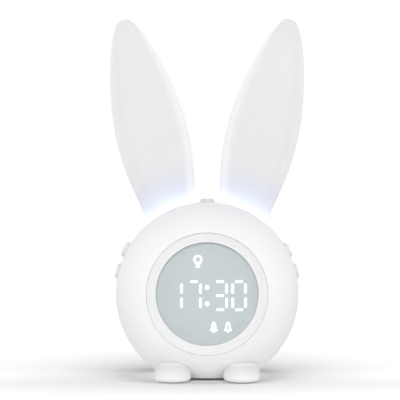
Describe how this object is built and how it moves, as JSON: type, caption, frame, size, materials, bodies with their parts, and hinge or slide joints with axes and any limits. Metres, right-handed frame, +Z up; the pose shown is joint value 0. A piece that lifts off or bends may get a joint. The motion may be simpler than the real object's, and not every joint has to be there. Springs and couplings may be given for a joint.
{
  "type": "alarm clock",
  "caption": "Round desk alarm clock with a circular digital display, tall translucent ears that glow as a night light, push buttons and dome feet.",
  "frame": {"origin": "centre of the clock's box on the plane it stands on", "axes": "+Z up, the display faces -Y, +X to the right of someone who faces the display"},
  "size_m": [0.1032, 0.0782, 0.1896],
  "materials": {
    "shell_white": "moulded ABS, fine satin texture",
    "bezel_white": "moulded ABS, fine turned rings",
    "button_grey": "moulded ABS, satin",
    "ear_frosted": "frosted translucent polypropylene",
    "window_clear": "clear acrylic, polished",
    "mask_grey": "printed grey film",
    "lit_white": "diffusing film, lit from behind",
    "inner_white": "moulded white polystyrene",
    "board_green": "solder mask on glass laminate",
    "led_yellow": "phosphor-coated chip",
    "component_black": "moulded epoxy",
    "pad_rubber": "translucent silicone rubber",
    "cone_paper": "coated paper",
    "steel": "zinc-plated steel",
    "magnet_steel": "ferrite magnet in a plated cup",
    "cell_foil": "laminated foil pouch"
  },
  "bodies": {
    "clock": {"front_shell": "shell_white", "rear_shell": "shell_white", "foot_left": "shell_white", "foot_right": "shell_white", "bezel_ring": "bezel_white", "ear_left": "ear_frosted", "ear_right": "ear_frosted", "display_window": "window_clear", "display_mask": "mask_grey", "segments_unlit": "mask_grey", "segments_lit": "lit_white", "icon_windows": "lit_white", "light_guide": "inner_white", "ear_light_base_left": "inner_white", "ear_light_base_right": "inner_white", "ear_light_board_left": "inner_white", "ear_light_board_right": "inner_white", "speaker_clamp": "inner_white", "battery_tray": "inner_white", "display_board": "board_green", "switch_board_top": "board_green", "switch_board_left": "board_green", "switch_board_right": "board_green", "charging_board": "board_green", "display_leds": "led_yellow", "ear_leds": "led_yellow", "display_chips": "component_black", "push_switches": "component_black", "usb_tongue": "component_black", "foot_pads": "pad_rubber", "rear_pads": "pad_rubber", "battery_foam": "pad_rubber", "speaker_cone": "cone_paper", "foot_screws": "steel", "case_screws": "steel", "small_screws": "steel", "usb_shell": "steel", "speaker_frame": "steel", "speaker_magnet": "magnet_steel", "battery_cell": "cell_foil"},
    "top_button": {"button_top": "button_grey", "plunger_top": "component_black"},
    "upper_left_button": {"button_upper_left": "button_grey", "plunger_upper_left": "component_black"},
    "lower_left_button": {"button_lower_left": "button_grey", "plunger_lower_left": "component_black"},
    "upper_right_button": {"button_upper_right": "button_grey", "plunger_upper_right": "component_black"},
    "lower_right_button": {"button_lower_right": "button_grey", "plunger_lower_right": "component_black"}
  },
  "joints": [
    {"name": "press_top", "type": "slide", "parent": "clock", "child": "top_button", "axis": [0, 0, -1], "range_m": [0, 0.0006], "stiffness_N_per_m": 1500, "springref_m": -0.0003},
    {"name": "press_upper_left", "type": "slide", "parent": "clock", "child": "upper_left_button", "axis": [0.9336, 0, -0.3584], "range_m": [0, 0.0006], "stiffness_N_per_m": 1500, "springref_m": -0.0003},
    {"name": "press_lower_left", "type": "slide", "parent": "clock", "child": "lower_left_button", "axis": [0.9336, 0, -0.3584], "range_m": [0, 0.0006], "stiffness_N_per_m": 1500, "springref_m": -0.0003},
    {"name": "press_upper_right", "type": "slide", "parent": "clock", "child": "upper_right_button", "axis": [-0.9336, 0, -0.3584], "range_m": [0, 0.0006], "stiffness_N_per_m": 1500, "springref_m": -0.0003},
    {"name": "press_lower_right", "type": "slide", "parent": "clock", "child": "lower_right_button", "axis": [-0.9336, 0, -0.3584], "range_m": [0, 0.0006], "stiffness_N_per_m": 1500, "springref_m": -0.0003}
  ]
}
